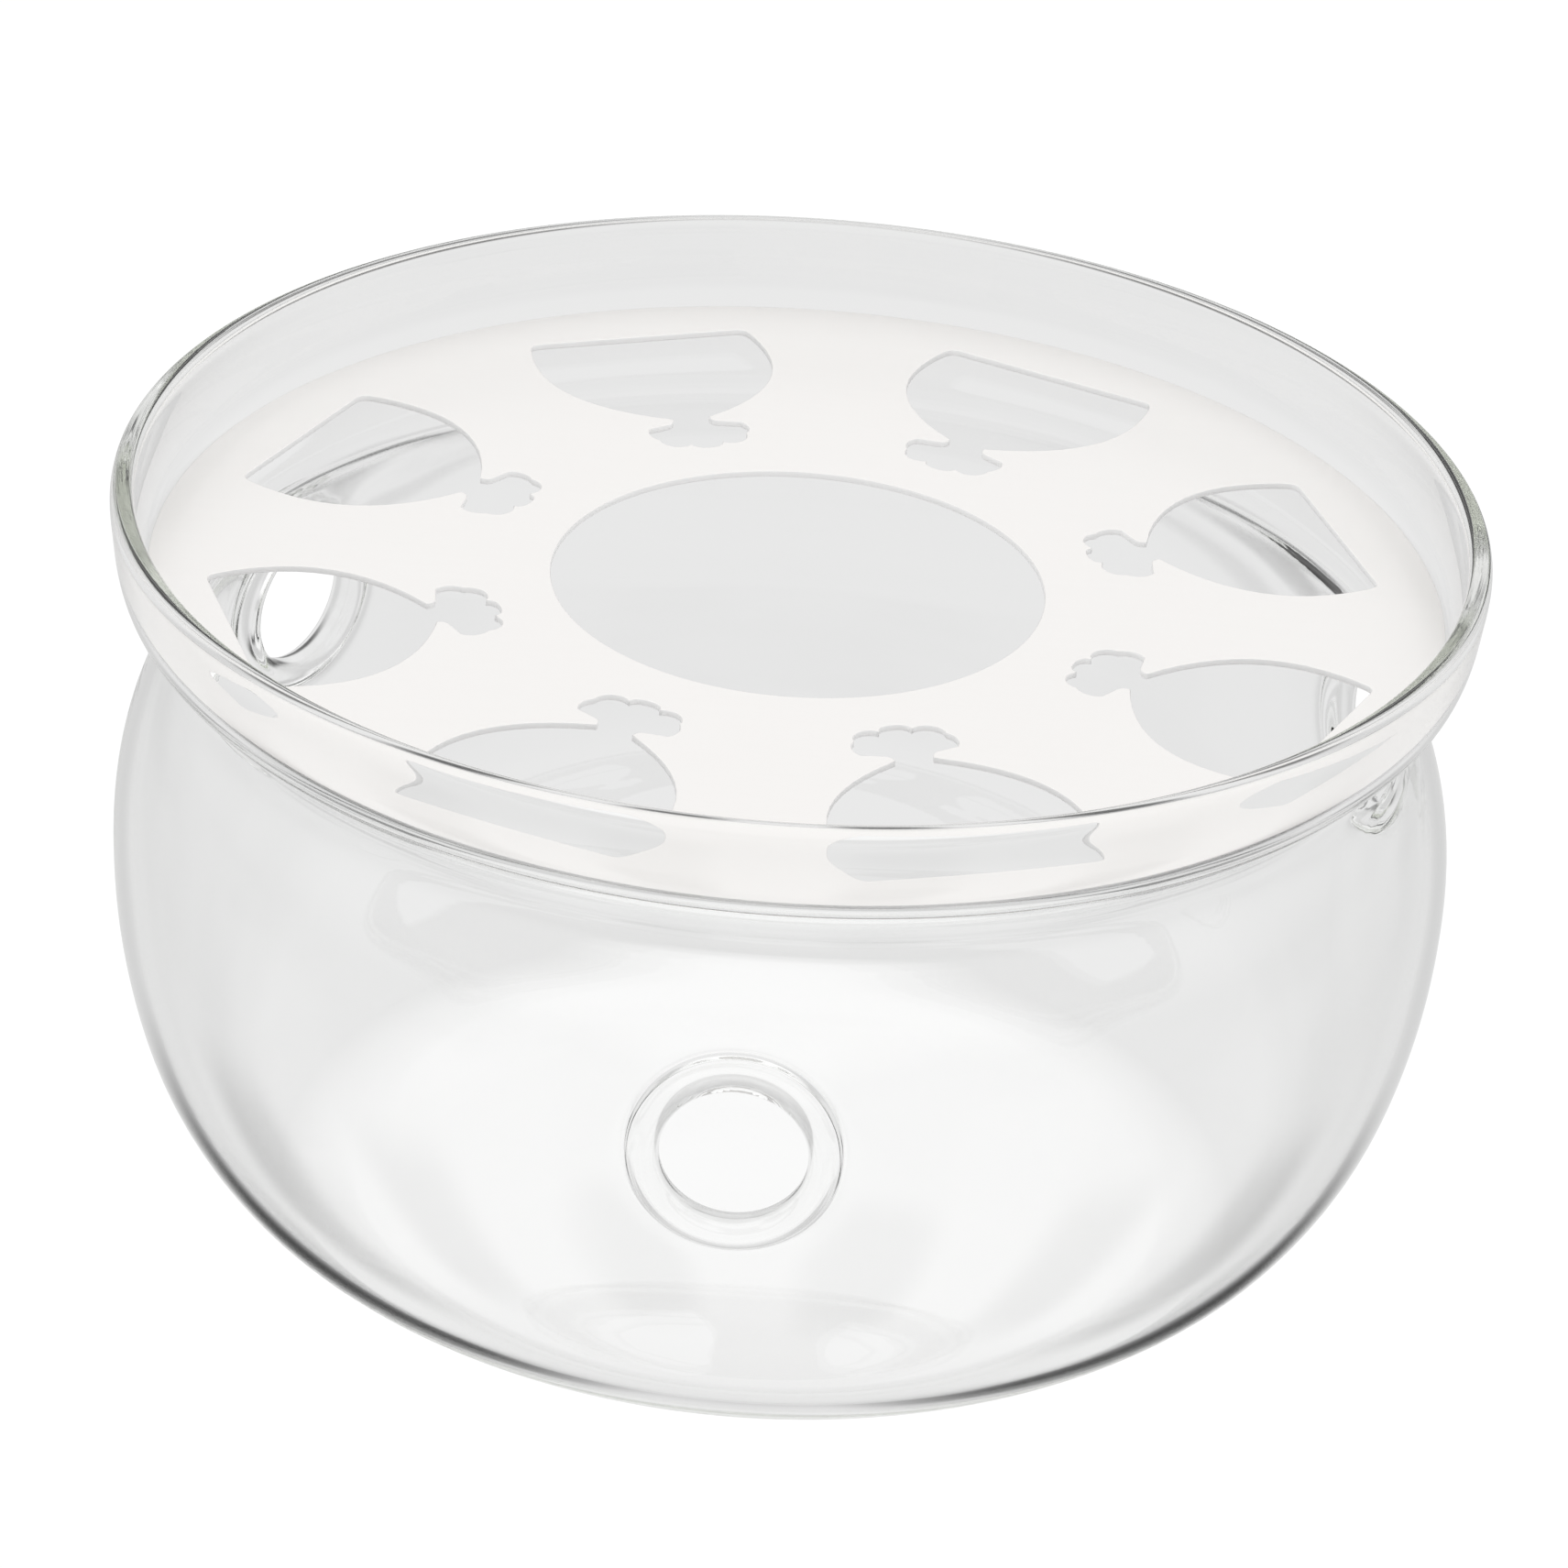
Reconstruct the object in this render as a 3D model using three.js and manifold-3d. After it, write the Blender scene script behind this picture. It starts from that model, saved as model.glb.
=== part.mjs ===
// A glass teapot warmer: a blown glass bowl with a cupped rim, and a loose
// perforated steel plate that rests on the shoulder inside the rim.
// Millimetres, +Z up, origin at the centre of the face the bowl stands on,
// the first air vent towards -Y.
import * as THREE from "three";
import { mergeVertices } from "three/addons/utils/BufferGeometryUtils.js";
import Module from "manifold-3d";

const wasm = await Module();
wasm.setup();

// Plate
const PLATE_RADIUS = 66;
const PLATE_THICKNESS = 0.7;
const PLATE_UNDERSIDE = 71.6; // height of the plate's lower face above the table
const CENTRE_HOLE_RADIUS = 25.2;
const CUTOUTS = 8;
const FIRST_CUTOUT = 19; // degrees from +X to the axis of the first cutout
const CUTOUT_STEPS = 4; // points along each curve of a cutout
const CIRCLE_STEPS = 24; // points along each circle's half

// Glass
const WALL = 1.5;
const FLOOR = 1.7; // thickness of the glass under the candle
const PUNT_RISE = 1.0; // how far the middle of the base is pushed up
const PUNT_RADIUS = 38; // inner edge of the flat ring the bowl stands on
const PUNT_SLOPE = 14; // width of the slope from the ring to the raised middle
const FOOT_RADIUS = 43; // outer edge of the flat ring
const RIM_BEAD = 1.3; // radius of the fire-polished lip
const BEAD_SWEEP = 200; // degrees of the lip's round edge
const BEAD_STEPS = 6;
const BEAD_BLEND = 3.9; // depth below the rim at which the lip has run out into the inside
const INSIDE_START = 0.2; // height above the floor at which the inside of the wall starts
const RIM_RADIUS = 69.9;
const RIM_TOP = 81.8;
const SEGMENTS = 48;
const OUTLINE_STEPS = 26;

// Air vents
const VENT_AZIMUTHS = [-92, 23, 143]; // degrees from +X, set out by eye at the torch
const VENT_HEIGHT = 45.4;
const VENT_BORE_RADIUS = 7.3;
const VENT_LIP_RADIUS = 10.2;
const VENT_FACE = 69.85; // distance of the lip's outer face from the bowl's axis
const VENT_DEPTH = 3.4;
const VENT_ROUND = 1.4;
const VENT_SEGMENTS = 20;
const VENT_HOLE_LENGTH = 12; // long enough to pass right through the wall

const DEG = Math.PI / 180;

/** A closed geometry as a manifold-3d solid. */
function solid(geometry) {
  let g = geometry.clone();
  g.deleteAttribute("normal");
  g.deleteAttribute("uv");
  g = mergeVertices(g, 1e-4);
  return new wasm.Manifold(
    new wasm.Mesh({
      numProp: 3,
      vertProperties: new Float32Array(g.getAttribute("position").array),
      triVerts: new Uint32Array(g.index.array),
    }),
  );
}

/** A manifold-3d solid as a geometry. */
function geometryOf(body) {
  const { vertProperties, triVerts, numProp, numVert } = body.getMesh();
  const xyz = new Float32Array(numVert * 3);
  for (let i = 0; i < numVert; i++)
    xyz.set(vertProperties.subarray(i * numProp, i * numProp + 3), i * 3);
  const g = new THREE.BufferGeometry();
  g.setAttribute("position", new THREE.BufferAttribute(xyz, 3));
  g.setIndex(new THREE.BufferAttribute(triVerts, 1));
  g.computeVertexNormals();
  return g;
}

/** A profile of (radius, height) points turned about +Z. */
function turned(profile, segments) {
  return new THREE.LatheGeometry(profile, segments).rotateX(Math.PI / 2);
}

/** The outside of the bowl from its foot ring to the lip, through the points that shape it. */
function outerOutline() {
  const stations = [
    [FOOT_RADIUS, 0],
    [46, 1.6],
    [49.5, 3.4],
    [53.3, 5.6],
    [57.4, 8.6],
    [64.2, 17.7],
    [67.8, 29.4],
    [68.85, 42.4],
    [67.5, 52.4],
    [64.3, 60.4],
    [62.2, 64.4],
    [63.4, 66.9],
    [66, 69.4],
    [68.5, 72.0],
    [69.6, 76.0],
    [RIM_RADIUS, RIM_TOP - RIM_BEAD],
  ];
  const curve = new THREE.CatmullRomCurve3(
    stations.map(([r, z]) => new THREE.Vector3(r, z, 0)),
    false,
    "centripetal",
  );
  return curve.getPoints(OUTLINE_STEPS);
}

/** The bowl's wall before the vents: the outline, the lip, the inside and the pushed-up base. */
function bowlWall() {
  const outer = outerOutline();
  const inner = outer.map((p, i) => {
    const before = outer[Math.max(i - 1, 0)];
    const after = outer[Math.min(i + 1, outer.length - 1)];
    const along = after.clone().sub(before).normalize();
    return new THREE.Vector2(p.x - along.y * WALL, p.y + along.x * WALL);
  });
  const floor = PUNT_RISE + FLOOR;
  const profile = [new THREE.Vector2(0, PUNT_RISE)];
  profile.push(new THREE.Vector2(PUNT_RADIUS - PUNT_SLOPE, PUNT_RISE));
  profile.push(new THREE.Vector2(PUNT_RADIUS, 0));
  profile.push(...outer.map((p) => new THREE.Vector2(p.x, p.y)));
  const beadCentre = new THREE.Vector2(RIM_RADIUS - RIM_BEAD, RIM_TOP - RIM_BEAD);
  for (let step = 1; step <= BEAD_STEPS; step++) {
    const a = (step / BEAD_STEPS) * BEAD_SWEEP * DEG;
    profile.push(
      new THREE.Vector2(Math.cos(a), Math.sin(a)).multiplyScalar(RIM_BEAD).add(beadCentre),
    );
  }
  const top = RIM_TOP - BEAD_BLEND;
  profile.push(...inner.filter((p) => p.y > floor + INSIDE_START && p.y < top).reverse());
  profile.push(new THREE.Vector2(FOOT_RADIUS, floor));
  profile.push(new THREE.Vector2(0, floor));
  return solid(turned(profile, SEGMENTS));
}

/** The thickened, fire-polished ring of glass round one vent, with its axis along +Y. */
function ventLip() {
  const profile = [];
  const corners = [
    [VENT_LIP_RADIUS - VENT_ROUND, VENT_DEPTH - VENT_ROUND, 0],
    [VENT_BORE_RADIUS + VENT_ROUND, VENT_DEPTH - VENT_ROUND, 90],
    [VENT_BORE_RADIUS + VENT_ROUND, VENT_ROUND, 180],
    [VENT_LIP_RADIUS - VENT_ROUND, VENT_ROUND, 270],
  ];
  for (const [r, h, start] of corners)
    for (const turn of [0, 45, 90]) {
      const a = (start + turn) * DEG;
      profile.push(
        new THREE.Vector2(r + VENT_ROUND * Math.cos(a), h + VENT_ROUND * Math.sin(a)),
      );
    }
  profile.push(profile[0].clone());
  return new THREE.LatheGeometry(profile, VENT_SEGMENTS);
}

/** Moves a shape whose axis is +Y onto a vent's axis, its start at the given distance out. */
function atVent(geometry, azimuth, distance) {
  return geometry
    .translate(0, distance, 0)
    .rotateZ((azimuth - 90) * DEG)
    .translate(0, 0, VENT_HEIGHT);
}

/** The whole glass: the wall with three round vents through it, each with its own lip. */
function bowl() {
  let glass = bowlWall();
  for (const azimuth of VENT_AZIMUTHS) {
    const wide = (VENT_BORE_RADIUS + VENT_LIP_RADIUS) / 2;
    const hole = new THREE.CylinderGeometry(wide, wide, VENT_HOLE_LENGTH, VENT_SEGMENTS);
    glass = glass.subtract(solid(atVent(hole, azimuth, VENT_FACE)));
    const lip = atVent(ventLip(), azimuth, VENT_FACE - VENT_DEPTH);
    glass = glass.add(solid(lip));
  }
  return glass;
}

/** Adds an arc from the path's last point to (x, y), bulging to the right of its way by rise. */
function bulge(path, x, y, rise) {
  const from = path.currentPoint.clone();
  const to = new THREE.Vector2(x, y);
  const half = from.distanceTo(to) / 2;
  const radius = (half * half + rise * rise) / (2 * rise);
  const way = to.clone().sub(from).normalize();
  const centre = from
    .clone()
    .add(to)
    .multiplyScalar(0.5)
    .add(new THREE.Vector2(-way.y, way.x).multiplyScalar(radius - rise));
  const start = Math.atan2(from.y - centre.y, from.x - centre.x);
  const end = Math.atan2(to.y - centre.y, to.x - centre.x);
  path.absarc(centre.x, centre.y, radius, start, end, false);
}

/** Half of one gathered-pouch cutout, in a frame whose +Y runs outwards from the plate's centre. */
function halfCutout() {
  const path = new THREE.Path();
  path.moveTo(0, 31.35);
  path.quadraticCurveTo(1.25, 31.35, 1.7, 32.4); // middle lobe of the ruffle
  bulge(path, 4.75, 33.9, 1.1); // next lobe
  bulge(path, 5.0, 36.75, 0.55); // side lobe
  path.lineTo(2.8, 37.35);
  path.quadraticCurveTo(2.0, 37.6, 2.0, 38.5); // tie round the neck
  path.bezierCurveTo(8.8, 41.6, 12.85, 46.5, 12.85, 53); // side of the pouch
  path.quadraticCurveTo(12.85, 55.3, 12.4, 57.4);
  path.quadraticCurveTo(12.1, 58.9, 10.9, 58.9); // rounded corner
  path.lineTo(0, 58.9);
  return path.getPoints(CUTOUT_STEPS);
}

/** The plate: a flat disc with a round hole in the middle and a ring of cutouts. */
function plate() {
  const disc = new THREE.Shape();
  disc.absarc(0, 0, PLATE_RADIUS, 0, 2 * Math.PI, false);
  const centre = new THREE.Path();
  centre.absarc(0, 0, CENTRE_HOLE_RADIUS, 0, 2 * Math.PI, true);
  disc.holes.push(centre);
  const half = halfCutout();
  const mirrored = half.slice(1, -1).reverse();
  const outline = [...half, ...mirrored.map((p) => new THREE.Vector2(-p.x, p.y))];
  for (let i = 0; i < CUTOUTS; i++) {
    const turn = (FIRST_CUTOUT + (i * 360) / CUTOUTS - 90) * DEG;
    const origin = new THREE.Vector2();
    disc.holes.push(
      new THREE.Path(outline.map((p) => p.clone().rotateAround(origin, turn))),
    );
  }
  return new THREE.ExtrudeGeometry(disc, {
    depth: PLATE_THICKNESS,
    bevelEnabled: false,
    curveSegments: CIRCLE_STEPS,
  });
}

/** A named mesh with its own material. */
function part(name, geometry, color, roughness, metalness) {
  const finish = { color, roughness, metalness };
  const mesh = new THREE.Mesh(geometry, new THREE.MeshStandardMaterial(finish));
  mesh.name = name;
  return mesh;
}

const warmer = new THREE.Group();
const glassBowl = part("glass_bowl", geometryOf(bowl()), 0xf1f4f2, 0.02, 0);
glassBowl.material.transparent = true;
glassBowl.material.opacity = 0.35;
warmer.add(glassBowl);

const lifted = new THREE.Group();
lifted.position.z = PLATE_UNDERSIDE;
lifted.add(part("perforated_plate", plate(), 0xdcdad6, 0.32, 1));
warmer.add(lifted);

export default warmer;
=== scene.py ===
"""A glass teapot warmer: a blown glass bowl with three air vents, and a loose pierced steel plate.

The bowl is modelled as a cage of loops that a subdivision surface rounds off, with each vent's
lip spun about its own axis and bridged into the wall. The plate is a flat outline with a
softened edge. Lengths are metres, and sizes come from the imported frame.
"""

import logging
import math
from dataclasses import dataclass, field
from enum import Enum

import bmesh
import bpy
from mathutils import Matrix, Vector


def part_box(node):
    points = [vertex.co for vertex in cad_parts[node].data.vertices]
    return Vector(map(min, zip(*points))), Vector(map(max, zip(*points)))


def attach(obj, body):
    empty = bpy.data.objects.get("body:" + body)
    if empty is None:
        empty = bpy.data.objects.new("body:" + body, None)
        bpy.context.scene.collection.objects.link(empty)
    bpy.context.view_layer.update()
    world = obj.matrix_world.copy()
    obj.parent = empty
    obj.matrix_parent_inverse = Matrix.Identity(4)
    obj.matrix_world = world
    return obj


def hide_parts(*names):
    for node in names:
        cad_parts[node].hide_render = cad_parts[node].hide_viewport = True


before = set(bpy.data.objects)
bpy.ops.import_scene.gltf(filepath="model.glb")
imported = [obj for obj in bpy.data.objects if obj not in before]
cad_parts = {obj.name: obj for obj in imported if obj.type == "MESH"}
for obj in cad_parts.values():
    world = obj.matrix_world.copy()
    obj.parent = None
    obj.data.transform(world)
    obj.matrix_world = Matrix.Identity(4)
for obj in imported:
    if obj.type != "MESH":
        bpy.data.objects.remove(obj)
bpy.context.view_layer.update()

MM = 0.001
WELD = 1e-6
CUT = "cut_edge"
log = logging.getLogger("teapot_warmer")


class Slot(Enum):
    """The record's material slots."""

    GLASS = "clear_glass"
    STEEL = "satin_steel"


class Body(Enum):
    """The record's moving bodies."""

    BOWL = "bowl"
    PLATE = "plate"


# --------------------------------------------------------------------------- shader maths


class Wire:
    """An output socket that takes part in arithmetic."""

    def __init__(self, graph: "Graph", socket: bpy.types.NodeSocket) -> None:
        """Keeps the socket and the graph that it belongs to."""
        self.graph = graph
        self.socket = socket

    def _maths(self, operation: str, first: object, second: object) -> "Wire":
        """Adds one Math node.

        Args:
            operation: The node's operation.
            first: Its first value, a number or a Wire.
            second: Its second value, a number or a Wire.

        Returns:
            The node's result.
        """
        return self.graph.node("ShaderNodeMath", {"operation": operation}, {0: first, 1: second})

    def __add__(self, other: object) -> "Wire":
        """Sum."""
        return self._maths("ADD", self, other)

    def __radd__(self, other: object) -> "Wire":
        """Sum, reflected."""
        return self._maths("ADD", other, self)

    def __sub__(self, other: object) -> "Wire":
        """Difference."""
        return self._maths("SUBTRACT", self, other)

    def __rsub__(self, other: object) -> "Wire":
        """Difference, reflected."""
        return self._maths("SUBTRACT", other, self)

    def __mul__(self, other: object) -> "Wire":
        """Product."""
        return self._maths("MULTIPLY", self, other)

    def __rmul__(self, other: object) -> "Wire":
        """Product, reflected."""
        return self._maths("MULTIPLY", other, self)

    def ease(self, span: tuple[float, float], ends: tuple[float, float] = (0.0, 1.0)) -> "Wire":
        """Turns the value into a smooth step.

        Args:
            span: The values where the step starts and stops.
            ends: What it gives at each.

        Returns:
            The step.
        """
        return self.graph.node("ShaderNodeMapRange", {"interpolation_type": "SMOOTHSTEP"}, {
            "Value": self, "From Min": span[0], "From Max": span[1],
            "To Min": ends[0], "To Max": ends[1]})


class Graph:
    """A material's or a world's node tree, emptied and ready to be wired."""

    def __init__(self, owner: bpy.types.ID) -> None:
        """Turns nodes on for the owner and clears them."""
        owner.use_nodes = True
        self.tree = owner.node_tree
        self.tree.nodes.clear()

    def node(self, kind: str, settings: dict | None = None, inputs: dict | None = None,
             output: int | str = 0) -> Wire:
        """Adds any node.

        Args:
            kind: The node's type name.
            settings: Its properties, set before its sockets. A ramp's stops go under "stops".
            inputs: Socket name or number to a value or a Wire.
            output: The socket that the result stands for.

        Returns:
            That output as a Wire.
        """
        made = self.tree.nodes.new(kind)
        for name, value in (settings or {}).items():
            if name == "stops":
                self._stops(made.color_ramp, value)
            else:
                setattr(made, name, value)
        for name, value in (inputs or {}).items():
            if isinstance(value, Wire):
                self.tree.links.new(value.socket, made.inputs[name])
            else:
                made.inputs[name].default_value = value
        socket = made.outputs[output] if made.outputs else None
        return Wire(self, socket)

    @staticmethod
    def _stops(ramp: bpy.types.ColorRamp, stops: list[tuple[float, float]]) -> None:
        """Sets a ramp's grey stops.

        Args:
            ramp: The ramp.
            stops: (position, grey) pairs in order.
        """
        while len(ramp.elements) < len(stops):
            ramp.elements.new(1.0)
        for element, (position, grey) in zip(ramp.elements, stops):
            element.position = position
            element.color = (grey, grey, grey, 1.0)


# --------------------------------------------------------------------------- finishes


@dataclass(frozen=True)
class ClearGlass:
    """Blown borosilicate glass, faintly uneven from the torch."""

    tint: tuple[float, float, float] = (0.9985, 0.999, 0.998)
    depth_color: tuple[float, float, float] = (0.45, 0.5, 0.36)
    depth_density: float = 3.5
    ior: float = 1.47
    wave_scale: float = 26.0
    wave_stretch: tuple[float, float, float] = (1.0, 1.0, 0.6)
    wave_height: float = 0.03 * MM

    def material(self) -> bpy.types.Material:
        """Builds the glass.

        Returns:
            The material.
        """
        made = bpy.data.materials.new("clear_glass")
        graph = Graph(made)
        place = graph.node("ShaderNodeTexCoord", output="Object")
        stretched = graph.node("ShaderNodeMapping", inputs={
            "Vector": place, "Scale": self.wave_stretch})
        wave = graph.node("ShaderNodeTexNoise", inputs={
            "Vector": stretched, "Scale": self.wave_scale, "Detail": 1.0, "Roughness": 0.4})
        uneven = graph.node("ShaderNodeBump", inputs={
            "Height": wave, "Distance": self.wave_height, "Strength": 1.0})
        glass = graph.node("ShaderNodeBsdfPrincipled", inputs={
            "Base Color": (*self.tint, 1.0), "Roughness": 0.0, "IOR": self.ior,
            "Transmission Weight": 1.0, "Normal": uneven})
        depth = graph.node("ShaderNodeVolumeAbsorption", inputs={
            "Color": (*self.depth_color, 1.0), "Density": self.depth_density})
        graph.node("ShaderNodeOutputMaterial", inputs={"Surface": glass, "Volume": depth})
        return made


@dataclass(frozen=True)
class SatinSteel:
    """Stainless sheet with a fine rolled grain and matt cut edges; the cut edges also carry
    painted light, a near-white non-metal colour that makes them look lit.
    """

    color: tuple[float, float, float] = (0.86, 0.845, 0.83)
    roughness: float = 0.36
    grain_scale: tuple[float, float, float] = (60.0, 2600.0, 60.0)
    grain_depth: float = 0.004 * MM
    grain_share: float = 0.12
    cloud_scale: float = 30.0
    cloud_share: float = 0.05
    # Painted light on the cut edges: a near-white colour, with the metal turned off, so the edges
    # read as lit; their roughness below is the real matt finish.
    cut_painted_light_color: tuple[float, float, float] = (0.98, 0.975, 0.97)
    cut_roughness: float = 0.8

    def material(self) -> bpy.types.Material:
        """Builds the steel.

        Returns:
            The material.
        """
        made = bpy.data.materials.new("satin_steel")
        graph = Graph(made)
        place = graph.node("ShaderNodeTexCoord", output="Object")
        along = graph.node("ShaderNodeMapping", inputs={
            "Vector": place, "Scale": self.grain_scale})
        grain = graph.node("ShaderNodeTexNoise", inputs={
            "Vector": along, "Scale": 1.0, "Detail": 3.0, "Roughness": 0.6})
        cloud = graph.node("ShaderNodeTexNoise", inputs={
            "Vector": place, "Scale": self.cloud_scale, "Detail": 2.0, "Roughness": 0.5})
        spots = (cloud - 0.5) * self.cloud_share
        rolled = self.roughness + (grain - 0.5) * self.grain_share + spots
        cut = graph.node("ShaderNodeAttribute", {"attribute_name": CUT}, output="Fac")
        roughness = rolled + (self.cut_roughness - rolled) * cut
        # The cut edges take the painted-light white in place of the steel's colour.
        color = graph.node("ShaderNodeMix", {"data_type": "RGBA"}, {
            "Factor": cut, 6: (*self.color, 1.0), 7: (*self.cut_painted_light_color, 1.0)}, 2)
        relief = graph.node("ShaderNodeBump", inputs={
            "Height": grain, "Distance": self.grain_depth, "Strength": 0.6})
        # Metallic falls to zero on the cut edges, which is part of their painted light.
        steel = graph.node("ShaderNodeBsdfPrincipled", inputs={
            "Base Color": color, "Metallic": 1 - cut, "Roughness": roughness,
            "Normal": relief})
        graph.node("ShaderNodeOutputMaterial", inputs={"Surface": steel})
        return made


@dataclass(frozen=True)
class WhitePaper:
    """The white paper that stands behind and under everything."""

    glow: float = 1.05

    def material(self) -> bpy.types.Material:
        """Builds the paper.

        Returns:
            The material.
        """
        made = bpy.data.materials.new("white_paper")
        graph = Graph(made)
        glow = graph.node("ShaderNodeEmission", inputs={"Strength": self.glow})
        graph.node("ShaderNodeOutputMaterial", inputs={"Surface": glow})
        return made


@dataclass(frozen=True)
class GlowTablePaintedPool:
    """A pale round table that glows, its glow painted light: a painted pool of light under the
    object that fades into painted shade of the bowl's wall towards its edge.
    """

    reach: float = 0.052
    # Glow against distance from the middle, as a share of reach: a painted pool of light out to
    # 0.8, then painted shade of the bowl's wall out to the edge.
    stops: tuple[tuple[float, float], ...] = (
        (0.0, 0.94), (0.8, 0.94), (0.92, 0.87), (1.0, 0.79))

    def material(self) -> bpy.types.Material:
        """Builds the table's glow, which carries the painted pool of light and the painted shade.

        Returns:
            The material.
        """
        made = bpy.data.materials.new("glow_table_painted_pool")
        graph = Graph(made)
        place = graph.node("ShaderNodeTexCoord", output="Object")
        away = graph.node("ShaderNodeVectorMath", {"operation": "LENGTH"}, {0: place}, "Value")
        # The ramp paints the pool of light under the bowl and the shade at the table's edge,
        # though the table is no lamp.
        tone = graph.node("ShaderNodeValToRGB", {"stops": self.stops},
                          {"Fac": away * (1 / self.reach)})
        glow = graph.node("ShaderNodeEmission", inputs={"Color": tone, "Strength": 1.0})
        graph.node("ShaderNodeOutputMaterial", inputs={"Surface": glow})
        return made


# --------------------------------------------------------------------------- the object


def finished(name: str, mesh: bpy.types.Mesh, finish: bpy.types.Material, body: Body,
             node: str) -> bpy.types.Object:
    """Puts a mesh in the scene as a piece that stands for a CAD node.

    Args:
        name: The piece's name.
        mesh: Its mesh, already in place.
        finish: Its material.
        body: The body it rides on.
        node: The CAD node that it replaces.

    Returns:
        The piece.
    """
    piece = bpy.data.objects.new(name, mesh)
    bpy.context.scene.collection.objects.link(piece)
    mesh.materials.clear()
    mesh.materials.append(finish)
    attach(piece, body.value)
    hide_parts(node)
    log.info("%s: %d vertices", name, len(mesh.vertices))
    return piece


@dataclass
class Vent:
    """One air vent: a round hole whose edge was gathered into a rounded lip."""

    azimuth: float
    height: float
    seat_radius: float = 12.0 * MM
    lip: tuple[tuple[float, float], ...] = (
        (10.75, -0.85), (10.45, -0.35), (10.2, 0.3), (9.6, 0.75), (8.8, 0.8), (8.0, 0.45),
        (7.45, -0.25), (7.3, -1.2), (7.4, -2.2), (7.8, -3.0), (8.6, -3.4), (9.5, -3.1),
        (10.6, -2.6))
    turns: int = 16
    mid_wall: float = 1.7 * MM

    @property
    def outward(self) -> Vector:
        """The direction that the vent faces."""
        return Vector((math.cos(self.azimuth), math.sin(self.azimuth), 0.0))

    @property
    def sideways(self) -> Vector:
        """The direction along the wall, to the left of outward."""
        return Vector((-math.sin(self.azimuth), math.cos(self.azimuth), 0.0))

    def place(self, wall_radius: float, spread: float, turn: float) -> Vector:
        """A point on the wall round the vent.

        Args:
            wall_radius: The wall's radius at the point's height.
            spread: The distance from the vent's axis.
            turn: The angle round the axis, from sideways towards up.

        Returns:
            The point.
        """
        side, rise = spread * math.cos(turn), spread * math.sin(turn)
        depth = math.sqrt(wall_radius ** 2 - side ** 2)
        up = Vector((0.0, 0.0, self.height + rise))
        return self.outward * depth + self.sideways * side + up

    def spin_lip(self, bm: bmesh.types.BMesh, face: float) -> list[bmesh.types.BMEdge]:
        """Spins the lip's section about the vent's axis.

        Args:
            bm: The mesh that gets the lip.
            face: The distance from the bowl's axis to the wall at the vent.

        Returns:
            The edges of the lip's two open ends, the outer end's first.
        """
        up = Vector((0.0, 0.0, self.height))
        verts = [
            bm.verts.new(self.outward * (face + h * MM) + self.sideways * (r * MM) + up)
            for r, h in self.lip
        ]
        edges = [bm.edges.new(pair) for pair in zip(verts, verts[1:])]
        before = set(bm.edges)
        bmesh.ops.spin(bm, geom=verts + edges, cent=self.outward * face + up, axis=self.outward,
                       angle=math.tau, steps=self.turns, use_merge=True, use_duplicate=False)
        new = [e for e in bm.edges if e not in before or e in edges]
        return [e for e in new if len(e.link_faces) == 1]


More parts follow.
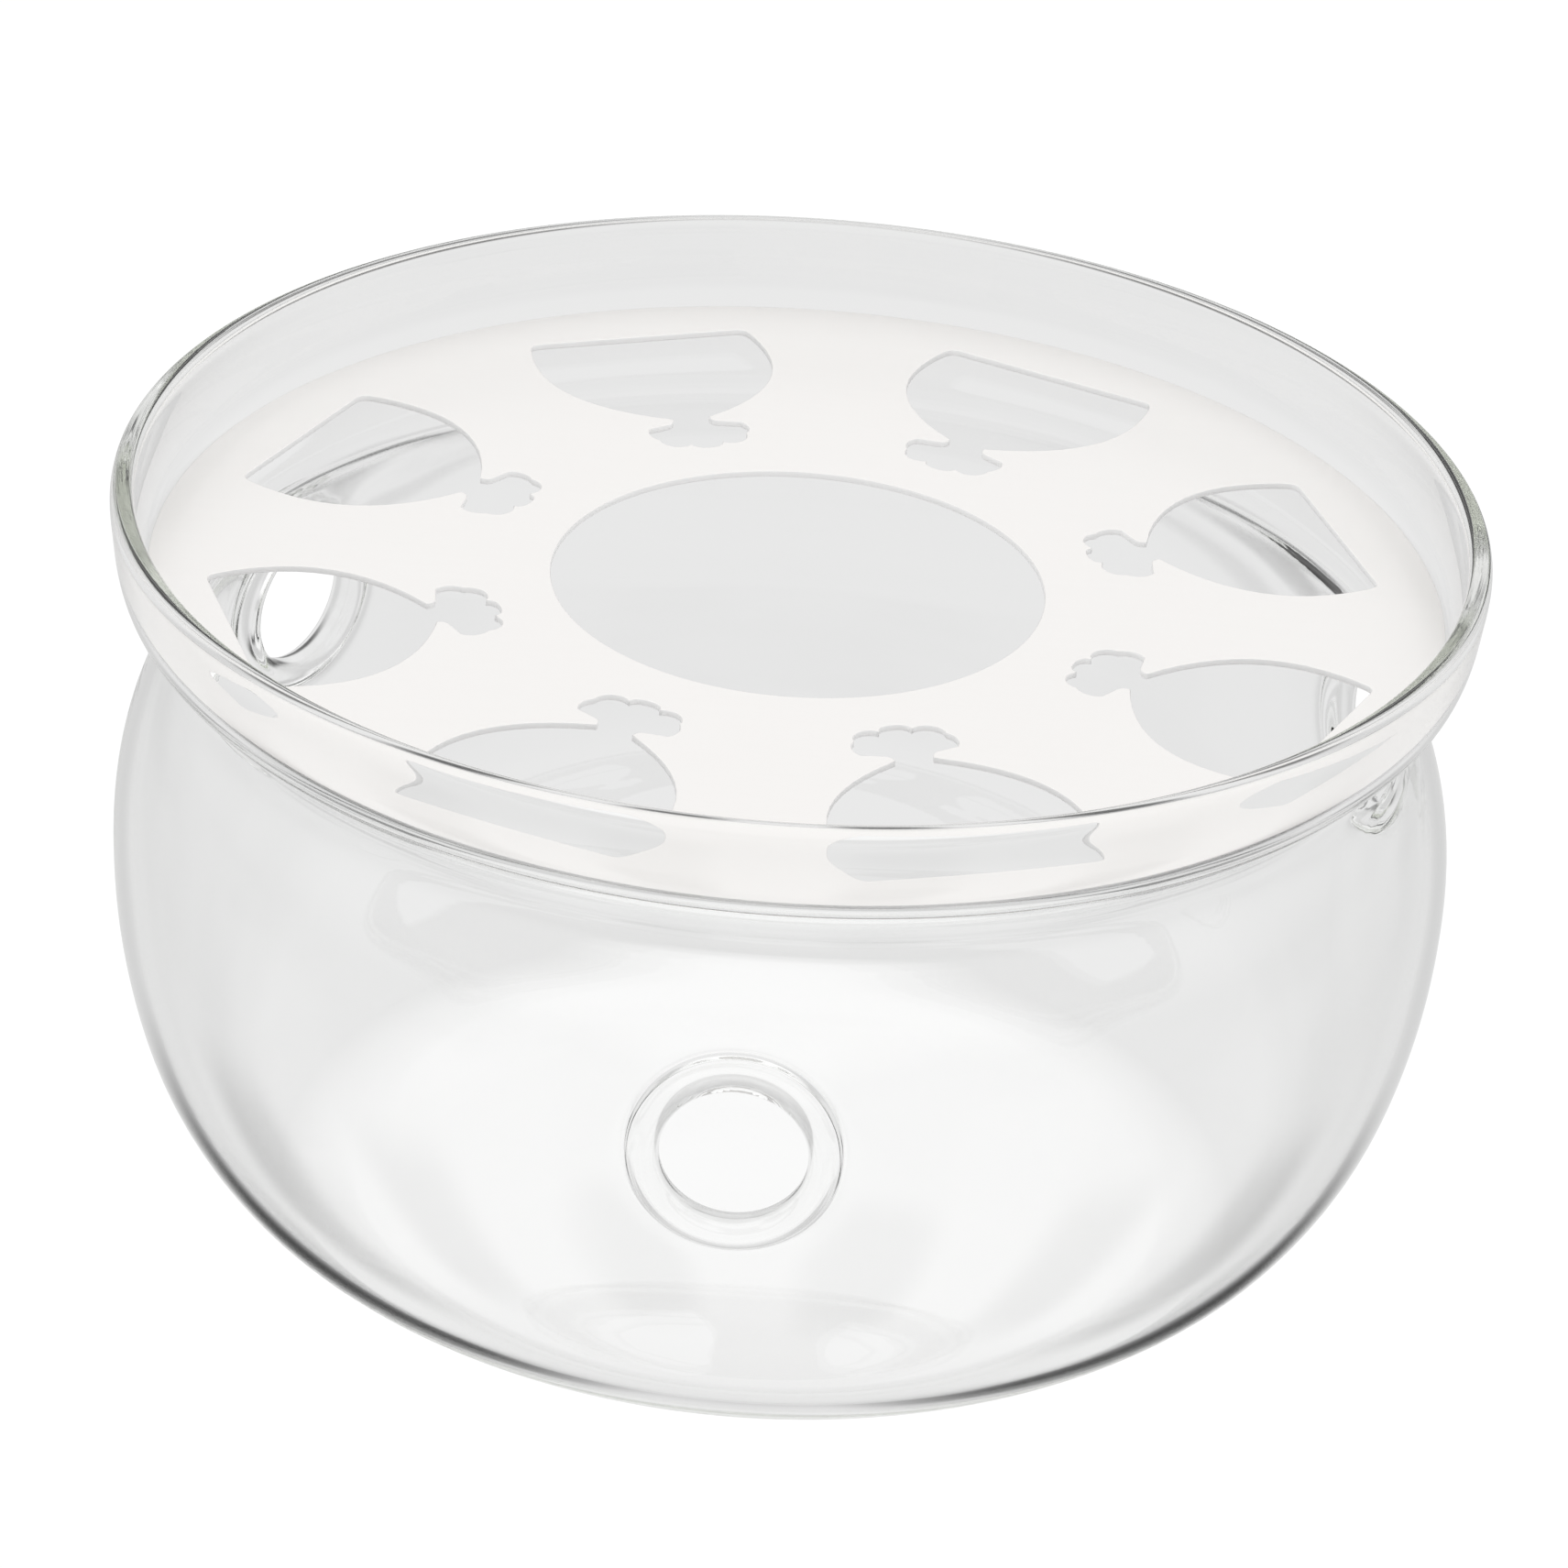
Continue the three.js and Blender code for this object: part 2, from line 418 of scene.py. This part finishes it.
@dataclass
class GlassBowl:
    """The blown glass: belly, pinched neck, cupped rim, flat foot ring and vents."""

    node: str = "glass_bowl"
    segments: int = 72
    wall: float = 1.5 * MM
    outer: tuple[tuple[float, float], ...] = (
        (0.0, 1.0), (14.0, 0.95), (27.0, 0.6), (36.0, 0.1), (39.0, 0.0), (42.6, 0.0),
        (44.4, 0.55), (48.2, 2.55), (53.2, 5.4), (58.3, 9.2), (62.2, 14.3), (65.3, 20.3),
        (67.3, 27.2), (68.5, 33.6), (69.0, 39.5), (69.1, 45.4), (68.4, 51.3), (66.7, 57.2),
        (64.3, 61.2), (62.5, 63.7), (62.2, 65.5), (63.2, 67.3), (65.2, 69.1),
        (67.4, 70.8), (68.9, 72.9), (69.5, 75.6), (69.75, 78.2))
    rim: tuple[tuple[float, float], ...] = (
        (69.95, 79.6), (70.0, 80.9), (69.6, 81.75), (68.7, 82.0), (67.75, 81.7), (67.4, 80.8),
        (67.75, 79.4))
    floor: tuple[tuple[float, float], ...] = (
        (47.4, 3.85), (43.8, 2.05), (42.2, 1.7), (38.0, 1.7), (28.0, 2.2), (14.0, 2.6),
        (0.0, 2.7))
    vent_azimuths: tuple[float, ...] = (-92.0, 23.0, 143.0)
    vent_height: float = 45.4 * MM
    first_inner: int = 7
    window: int = 2
    levels: int = 2
    vents: list[Vent] = field(default_factory=list)

    def inner(self) -> list[tuple[float, float]]:
        """The inside of the wall, from the rim down to the floor, in millimetres.

        Returns:
            (radius, height) pairs.
        """
        wall = self.wall / MM
        found = []
        line = self.outer[self.first_inner:]
        for before, here, after in zip(line, line[1:], line[2:]):
            along = Vector(after) - Vector(before)
            along.normalize()
            found.append((here[0] - along.y * wall, here[1] + along.x * wall))
        return list(reversed(found))

    def cage(self) -> bmesh.types.BMesh:
        """Spins the bowl's section about its axis.

        Returns:
            The closed cage, without vents.
        """
        bm = bmesh.new()
        section = [*self.outer, *self.rim, *self.inner(), *self.floor]
        verts = [bm.verts.new((r * MM, 0.0, z * MM)) for r, z in section]
        edges = [bm.edges.new(pair) for pair in zip(verts, verts[1:])]
        start = math.radians(self.vent_azimuths[0])
        bmesh.ops.rotate(bm, verts=verts, cent=(0, 0, 0), matrix=Matrix.Rotation(start, 3, "Z"))
        bmesh.ops.spin(bm, geom=verts + edges, cent=(0, 0, 0), axis=(0, 0, 1), angle=math.tau,
                       steps=self.segments, use_merge=True, use_duplicate=False)
        bmesh.ops.remove_doubles(bm, verts=bm.verts, dist=WELD)
        return bm

    def radius_at(self, height: float, outside: bool) -> float:
        """The wall's radius at a height near the vents.

        Args:
            height: The height, in metres.
            outside: True for the outer surface.

        Returns:
            The radius, in metres.
        """
        line = self.outer if outside else tuple(reversed(self.inner()))
        for (r0, z0), (r1, z1) in zip(line, line[1:]):
            if z0 * MM <= height <= z1 * MM:
                share = (height / MM - z0) / (z1 - z0)
                return (r0 + (r1 - r0) * share) * MM
        raise ValueError("no wall at that height")

    def open_vent(self, bm: bmesh.types.BMesh, vent: Vent) -> None:
        """Cuts one vent's window out of both faces of the wall and bridges its lip in.

        Args:
            bm: The cage.
            vent: The vent.
        """
        reach = math.radians(360.0 / self.segments) * self.window
        low, high = self.height_rows()
        window = []
        for f in bm.faces:
            c = f.calc_center_median()
            away = Vector((c.x, c.y)).angle(vent.outward.xy)
            if away < reach and low < c.z < high:
                window.append(f)
        bmesh.ops.delete(bm, geom=window, context="FACES")
        rows = [[], []]
        step = math.tau / vent.turns
        for e in (e for e in bm.edges if e.is_boundary):
            rows[0 if self.is_outside(e.verts[0].co) else 1].append(e)
        for outside, edges in zip((True, False), rows):
            for v in {v for e in edges for v in e.verts}:
                side = v.co.dot(vent.sideways) / reach / self.radius_at(vent.height, outside)
                rise = (v.co.z - vent.height) / ((high - low) / 2)
                turn = round(math.atan2(rise, side) / step) * step
                z = vent.height + vent.seat_radius * math.sin(turn)
                v.co = vent.place(self.radius_at(z, outside), vent.seat_radius, turn)
        face = self.radius_at(vent.height, True)
        ends = vent.spin_lip(bm, face)
        far = [e for e in ends if e.verts[0].co.dot(vent.outward) < face - vent.mid_wall]
        near = [e for e in ends if e not in far]
        bmesh.ops.bridge_loops(bm, edges=rows[0] + near)
        bmesh.ops.bridge_loops(bm, edges=rows[1] + far)

    def is_outside(self, point: Vector) -> bool:
        """Whether a point of the wall lies on its outer face."""
        gap = self.radius_at(point.z, True) - point.xy.length
        return gap < self.wall / 2

    def height_rows(self) -> tuple[float, float]:
        """The heights that a vent's window spans.

        Returns:
            The lowest and the highest, in metres.
        """
        index = min(range(len(self.outer)),
                    key=lambda i: abs(self.outer[i][1] * MM - self.vent_height))
        return self.outer[index - self.window][1] * MM, self.outer[index + self.window][1] * MM

    def build(self, finish: bpy.types.Material) -> bpy.types.Object:
        """Makes the bowl.

        Args:
            finish: Its glass.

        Returns:
            The piece.
        """
        bm = self.cage()
        for azimuth in self.vent_azimuths:
            self.vents.append(Vent(math.radians(azimuth), self.vent_height))
            self.open_vent(bm, self.vents[-1])
        bmesh.ops.recalc_face_normals(bm, faces=bm.faces)
        for f in bm.faces:
            f.smooth = True
        log.info("open edges in the bowl: %d", sum(not e.is_manifold for e in bm.edges))
        mesh = bpy.data.meshes.new("blown_bowl")
        bm.to_mesh(mesh)
        bm.free()
        piece = finished("blown_bowl", mesh, finish, Body.BOWL, self.node)
        rounded = piece.modifiers.new("rounded", "SUBSURF")
        rounded.levels = rounded.render_levels = self.levels
        return piece


@dataclass
class PiercedPlate:
    """The loose steel disc: a round hole in the middle and a ring of pouch-shaped cutouts."""

    node: str = "perforated_plate"
    drawn_radius: float = 66.0
    hole_radius: float = 25.2
    cutouts: int = 8
    first_cutout: float = 19.0
    edge: float = 0.1 * MM
    steps: int = 10

    def __post_init__(self) -> None:
        """Reads the plate's place from the frame."""
        self.low, self.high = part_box(self.node)
        self.scale = (self.high.x - self.low.x) / 2 / self.drawn_radius

    @staticmethod
    def arc(start: Vector, end: Vector, rise: float) -> tuple[Vector, Vector]:
        """The handles of a round arc.

        Args:
            start: Its first point.
            end: Its last point.
            rise: How far it bulges to the right of its way.

        Returns:
            The handle after start and the handle before end.
        """
        chord = end - start
        half = math.atan2(2 * rise, chord.length) * 2
        radius = chord.length / 2 / math.sin(half)
        reach = 4 / 3 * math.tan(half / 2) * radius
        along = chord.normalized()
        right = Vector((along.y, -along.x))
        out = along * math.cos(half) + right * math.sin(half)
        back = -along * math.cos(half) + right * math.sin(half)
        return start + out * reach, end + back * reach

    def half_cutout(self) -> list[tuple[Vector, Vector, Vector]]:
        """Half of a cutout in a frame whose +Y runs outwards, from its inner end to its chord.

        Returns:
            Each stretch as (handle after its start, handle before its end, end), in millimetres.
        """
        middle, cusp, corner = Vector((0, 31.35)), Vector((1.7, 32.4)), Vector((4.75, 33.9))
        shoulder, waist = Vector((5.0, 36.75)), Vector((2.8, 37.35))
        neck, widest = Vector((2.0, 38.5)), Vector((12.85, 53.0))
        turn_in, chord = Vector((12.4, 57.4)), Vector((10.9, 58.9))
        return [
            (middle + Vector((1.0, 0)), cusp - Vector((0.15, 0.75)), cusp),
            (*self.arc(cusp, corner, 1.1), corner),
            (*self.arc(corner, shoulder, 0.55), shoulder),
            (shoulder.lerp(waist, 0.33), shoulder.lerp(waist, 0.67), waist),
            (Vector((2.25, 37.5)), Vector((2.0, 37.9)), neck),
            (Vector((8.8, 41.6)), Vector((12.85, 46.5)), widest),
            (Vector((12.85, 54.6)), Vector((12.7, 56.1)), turn_in),
            (Vector((12.2, 58.4)), Vector((11.9, 58.9)), chord),
            (chord - Vector((3, 0)), Vector((3, 58.9)), Vector((0, 58.9))),
        ]

    def cutout(self) -> list[tuple[Vector, Vector, Vector]]:
        """A whole cutout's points.

        Returns:
            Each point as (handle before it, the point, handle after it), in millimetres.
        """
        half = self.half_cutout()
        start = Vector((0, 31.35))
        ring = [(start - Vector((1.0, 0)), start, half[0][0])]
        for here, after in zip(half, half[1:]):
            ring.append((here[1], here[2], after[0]))
        top = half[-1]
        ring.append((top[1], top[2], Vector((-top[1].x, top[1].y))))
        mirrored = [tuple(Vector((-p.x, p.y)) for p in reversed(point)) for point in ring[1:-1]]
        return ring + list(reversed(mirrored))

    def add_ring(self, curve: bpy.types.Curve, points: list[tuple[Vector, Vector, Vector]],
                 turn: float) -> None:
        """Adds one closed outline.

        Args:
            curve: The flat curve.
            points: Its points with their handles, in millimetres.
            turn: The angle that they are turned by.
        """
        spline = curve.splines.new("BEZIER")
        spline.bezier_points.add(len(points) - 1)
        spline.use_cyclic_u = True
        spin = Matrix.Rotation(turn, 2)
        for target, (left, here, right) in zip(spline.bezier_points, points):
            target.handle_left_type = target.handle_right_type = "FREE"
            target.co = (*(spin @ here * self.scale), 0.0)
            target.handle_left = (*(spin @ left * self.scale), 0.0)
            target.handle_right = (*(spin @ right * self.scale), 0.0)

    @staticmethod
    def circle(radius: float, arcs: int = 16) -> list[tuple[Vector, Vector, Vector]]:
        """A circle's points with their handles.

        Args:
            radius: Its radius.
            arcs: How many arcs it is made of.

        Returns:
            The points, in the radius's unit.
        """
        reach = 4 / 3 * math.tan(math.tau / arcs / 4) * radius
        ring = []
        for i in range(arcs):
            a = math.tau * i / arcs
            here = Vector((math.cos(a), math.sin(a))) * radius
            along = Vector((-math.sin(a), math.cos(a))) * reach
            ring.append((here - along, here, here + along))
        return ring

    def build(self, finish: bpy.types.Material) -> bpy.types.Object:
        """Makes the plate.

        Args:
            finish: Its steel.

        Returns:
            The piece.
        """
        curve = bpy.data.curves.new("plate_outline", "CURVE")
        curve.dimensions = "2D"
        curve.fill_mode = "BOTH"
        curve.resolution_u = self.steps
        self.add_ring(curve, self.circle(self.drawn_radius), 0.0)
        self.add_ring(curve, self.circle(self.hole_radius), 0.0)
        for i in range(self.cutouts):
            turn = math.radians(self.first_cutout + i * 360.0 / self.cutouts - 90.0)
            self.add_ring(curve, self.cutout(), turn)
        thickness = self.high.z - self.low.z
        curve.bevel_depth = self.edge
        curve.bevel_resolution = 2
        curve.offset = -self.edge
        curve.extrude = thickness / 2 - self.edge
        outline = bpy.data.objects.new("plate_outline", curve)
        bpy.context.scene.collection.objects.link(outline)
        flat = bpy.data.meshes.new_from_object(outline)
        bpy.data.objects.remove(outline)
        bm = bmesh.new()
        bm.from_mesh(flat)
        bpy.data.meshes.remove(flat)
        bmesh.ops.remove_doubles(bm, verts=bm.verts, dist=WELD)
        bmesh.ops.translate(bm, verts=bm.verts, vec=(0, 0, (self.low.z + self.high.z) / 2))
        bmesh.ops.recalc_face_normals(bm, faces=bm.faces)
        # Marks the edge faces, which the steel gives its painted light: near-white and non-metal.
        cut = bm.faces.layers.float.new(CUT)
        for f in bm.faces:
            f[cut] = 1.0 if abs(f.normal.z) < 0.5 else 0.0
        log.info("open edges in the plate: %d", sum(not e.is_manifold for e in bm.edges))
        mesh = bpy.data.meshes.new("pierced_plate")
        bm.to_mesh(mesh)
        bm.free()
        return finished("pierced_plate", mesh, finish, Body.PLATE, self.node)


# --------------------------------------------------------------------------- the studio


@dataclass
class Studio:
    """Camera, table and soft light."""

    lens: float = 162.0
    elevation: float = math.radians(28.61)
    roll: float = math.radians(3.94)
    distance: float = 10.88
    raise_view: float = -0.314
    paper_radius: float = 6.0
    room: tuple[tuple[float, float], ...] = (
        (0.0, 0.72), (0.46, 0.72), (0.52, 0.68), (0.6, 0.88), (0.68, 1.1), (1.0, 1.14))
    haze: float = 0.45
    haze_scale: float = 2.2
    haze_middle: float = 0.55
    haze_top: tuple[float, float] = (0.12, 0.4)
    horizon: tuple[float, float] = (-0.26, -0.1)
    panels: int = 8
    panel_edge: tuple[float, float] = (-0.95, 0.55)
    panel_glow: float = 0.8
    gap_glow: tuple[float, float] = (0.06, 0.66)
    gap_rise: tuple[float, float] = (-0.68, -0.54)
    under_glow: float = 0.62
    under_rise: tuple[float, float] = (-0.95, -0.84)

    def camera(self) -> None:
        """Sets the camera, measured in plate radii from the middle of the plate."""
        low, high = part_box("perforated_plate")
        unit = (high.x - low.x) / 2
        centre = Vector((0, 0, high.z))
        c, s = math.cos(self.elevation), math.sin(self.elevation)
        back, up, right = Vector((0, -c, s)), Vector((0, s, c)), Vector((1, 0, 0))
        tilt_x = right * math.cos(self.roll) + up * math.sin(self.roll)
        tilt_y = up * math.cos(self.roll) - right * math.sin(self.roll)
        data = bpy.data.cameras.new("camera")
        data.lens = self.lens
        data.sensor_width = 36.0
        data.clip_start = 0.01
        camera = bpy.data.objects.new("camera", data)
        bpy.context.scene.collection.objects.link(camera)
        turned = Matrix((tilt_x, tilt_y, back)).transposed().to_4x4()
        spot = centre + (up * self.raise_view + back * self.distance) * unit
        camera.matrix_world = Matrix.Translation(spot) @ turned
        bpy.context.scene.camera = camera

    def backdrop(self) -> None:
        """Hangs the white paper all round, which lights nothing and is only looked at."""
        bm = bmesh.new()
        bmesh.ops.create_uvsphere(bm, u_segments=32, v_segments=16, radius=self.paper_radius)
        paper = self.stand(bm, "white_paper", WhitePaper().material())
        paper.visible_diffuse = paper.visible_glossy = paper.visible_transmission = False
        paper.visible_volume_scatter = paper.visible_shadow = False

    def floor(self) -> None:
        """Lays the glowing table, with its painted pool of light and painted shade, which the
        glass and the steel show.
        """
        bm = bmesh.new()
        bmesh.ops.create_circle(bm, cap_ends=True, radius=GlowTablePaintedPool.reach, segments=96)
        table = self.stand(bm, "glow_table_painted_pool", GlowTablePaintedPool().material())
        table.visible_camera = False

    @staticmethod
    def stand(bm: bmesh.types.BMesh, name: str, finish: bpy.types.Material) -> bpy.types.Object:
        """Sets a piece of the studio.

        Args:
            bm: Its mesh, which is used up.
            name: Its name.
            finish: Its material.

        Returns:
            The piece.
        """
        mesh = bpy.data.meshes.new(name)
        bm.to_mesh(mesh)
        bm.free()
        mesh.materials.append(finish)
        piece = bpy.data.objects.new(name, mesh)
        bpy.context.scene.collection.objects.link(piece)
        return piece

    def light(self) -> None:
        """Sets the room's light: bright overhead, hazy at the horizon, light panels below it."""
        world = bpy.data.worlds.new("room")
        bpy.context.scene.world = world
        graph = Graph(world)
        way = graph.node("ShaderNodeTexCoord", output="Generated")
        x, y, z = (graph.node("ShaderNodeSeparateXYZ", inputs={0: way}, output=axis)
                   for axis in "XYZ")
        turn = graph.node("ShaderNodeMath", {"operation": "ARCTAN2"}, {0: y, 1: x})
        wave = graph.node("ShaderNodeMath", {"operation": "COSINE"}, {0: turn * self.panels})
        gap = z.ease(self.gap_rise, self.gap_glow)
        side = wave.ease(self.panel_edge) * (self.panel_glow - gap) + gap
        low = (side - self.under_glow) * z.ease(self.under_rise) + self.under_glow
        high = graph.node("ShaderNodeValToRGB", {"stops": self.room}, {"Fac": z * 0.5 + 0.5})
        cloud = graph.node("ShaderNodeTexNoise", inputs={
            "Vector": way, "Scale": self.haze_scale, "Detail": 3.0, "Roughness": 0.5})
        haze = (cloud - self.haze_middle) * (1 - z.ease(self.haze_top)) * self.haze
        tone = low + (high + haze - low) * z.ease(self.horizon)
        sky = graph.node("ShaderNodeBackground", inputs={"Color": tone, "Strength": 1.0})
        graph.node("ShaderNodeOutputWorld", inputs={"Surface": sky})

    def build(self) -> None:
        """Makes the whole studio."""
        self.camera()
        self.backdrop()
        self.floor()
        self.light()
        scene = bpy.context.scene
        scene.view_settings.view_transform = "Standard"
        scene.cycles.max_bounces = 96
        scene.cycles.transmission_bounces = 96
        scene.cycles.glossy_bounces = 96


def main() -> None:
    """Builds the warmer in its studio."""
    logging.basicConfig(level=logging.INFO, format="%(name)s: %(message)s")
    Studio().build()
    GlassBowl().build(ClearGlass().material())
    PiercedPlate().build(SatinSteel().material())


if __name__ == "__main__":
    main()
